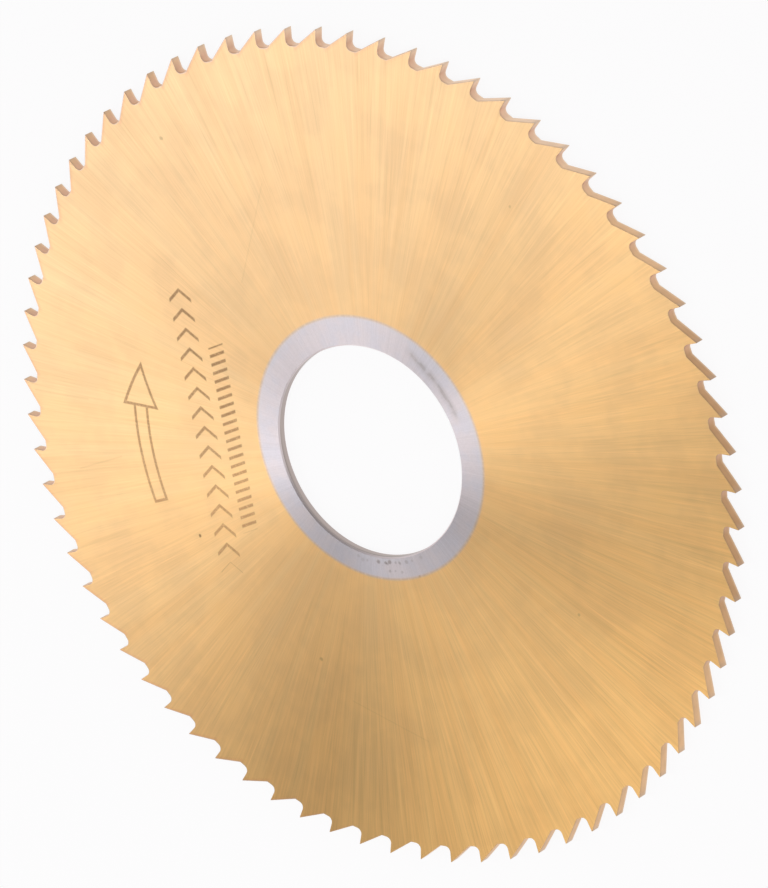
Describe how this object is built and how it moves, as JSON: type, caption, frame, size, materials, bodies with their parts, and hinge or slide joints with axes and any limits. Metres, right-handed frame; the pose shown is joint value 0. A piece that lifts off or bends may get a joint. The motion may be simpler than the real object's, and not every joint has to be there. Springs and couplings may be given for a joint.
{
  "type": "circular saw blade",
  "caption": "Thin flat round slitting saw for metal, with a plain bore, hollow-ground sides, fine ratchet teeth and a gold hard coating.",
  "frame": {"origin": "on the bore's axis, in the plane that the blade's tooth tips lie on", "axes": "+Z along the bore's axis, out of the marked face; +X through a tooth tip; seen from +Z the blade cuts turning clockwise"},
  "size_m": [0.063, 0.063, 0.0008],
  "materials": {
    "coated_steel": "ground steel with a thin gold hard coating and fine radial grinding marks; a bare steel ring round the bore"
  },
  "bodies": {
    "root": {"saw_blade": "coated_steel"}
  },
  "joints": []
}
